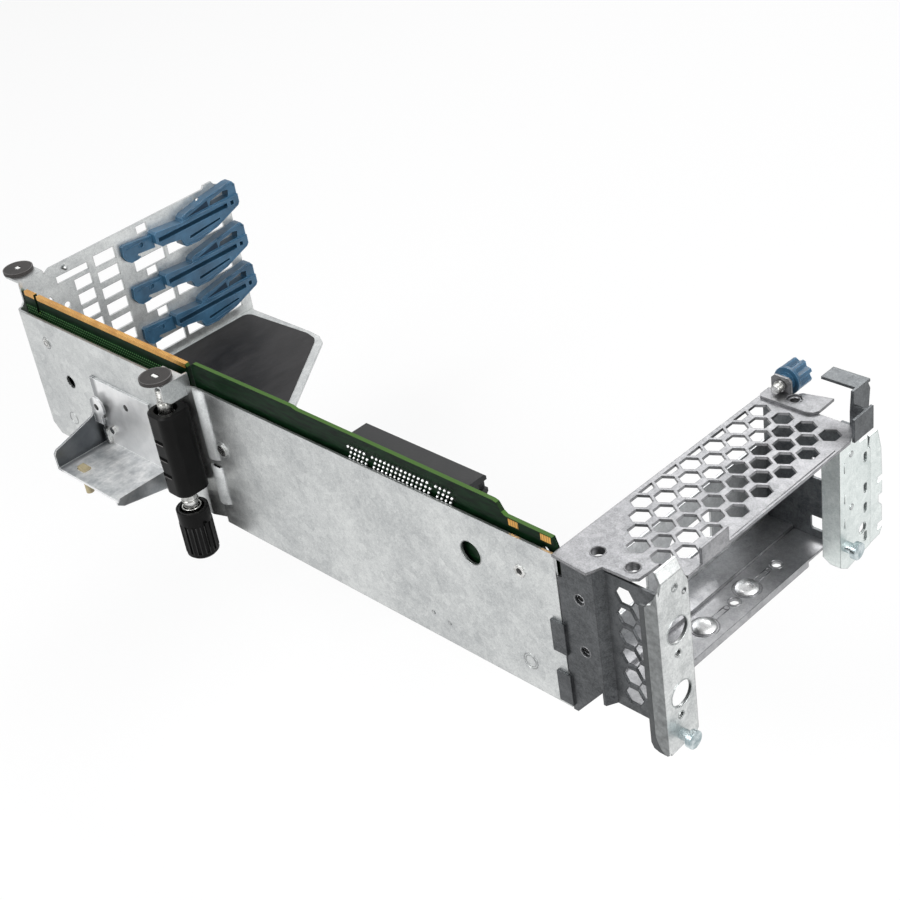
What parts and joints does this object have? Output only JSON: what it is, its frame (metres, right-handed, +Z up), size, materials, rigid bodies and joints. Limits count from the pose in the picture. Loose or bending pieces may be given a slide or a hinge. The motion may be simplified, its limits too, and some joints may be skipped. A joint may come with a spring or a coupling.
{
  "type": "server riser cage",
  "caption": "Long folded-steel riser cage with an upright riser board, blue card guides at one end and a hexagonally perforated rear card cage at the other.",
  "frame": {"origin": "on the captive screw's axis, level with the tray's top edge", "axes": "+X along the side plate towards the rear cage, +Y from the side plate across the card bay, +Z up through the gold contacts as pictured"},
  "size_m": [0.356, 0.148, 0.0865],
  "materials": {
    "galvanised_steel": "spangled zinc, satin",
    "zinc_steel": "satin",
    "bright_steel": "smooth, bright",
    "screw_steel": "bright nickel",
    "stud_zinc": "blue zinc",
    "board_green": "green solder mask",
    "contact_gold": "thin gold plate",
    "solder": "bright tin",
    "black_plastic": "satin black",
    "film_black": "matt film",
    "disc_rubber": "matt dark grey",
    "guide_blue": "satin blue",
    "tan_foam": "matt tan"
  },
  "bodies": {
    "cage": {"riser_tray": "galvanised_steel", "floor_film": "film_black", "riser_board": "board_green", "edge_contacts": "contact_gold", "board_pads": "contact_gold", "slot_connector_1": "black_plastic", "slot_connector_2": "black_plastic", "slot_connector_3": "black_plastic", "solder_tails": "solder", "card_guide_1": "guide_blue", "card_guide_2": "guide_blue", "card_guide_3": "guide_blue", "tray_bracket": "bright_steel", "bracket_pad": "tan_foam", "bracket_pin": "tan_foam", "bracket_screw": "screw_steel", "screw_sleeve": "black_plastic", "insulator_left": "disc_rubber", "insulator_front": "disc_rubber", "cage_top_plate": "zinc_steel", "far_flange": "zinc_steel", "cage_side_wall": "zinc_steel", "near_post": "galvanised_steel", "far_post": "galvanised_steel", "far_side_wall": "zinc_steel", "bottom_rail": "zinc_steel", "back_wall": "zinc_steel", "shoulder_studs": "stud_zinc", "plate_rivets": "screw_steel", "clinch_nut": "screw_steel"},
    "captive_screw": {"captive_screw": "screw_steel", "captive_knob": "black_plastic"},
    "thumbscrew": {"thumb_screw": "screw_steel", "thumb_knob": "guide_blue"}
  },
  "joints": [
    {"name": "captive_screw_spin", "type": "hinge", "parent": "cage", "child": "captive_screw", "pos_m": [0, 0, 0], "axis": [0, 0, 1], "continuous": true},
    {"name": "thumbscrew_spin", "type": "hinge", "parent": "cage", "child": "thumbscrew", "pos_m": [0.1908, 0.1193, 0.0044], "axis": [0, 1, 0], "continuous": true}
  ]
}
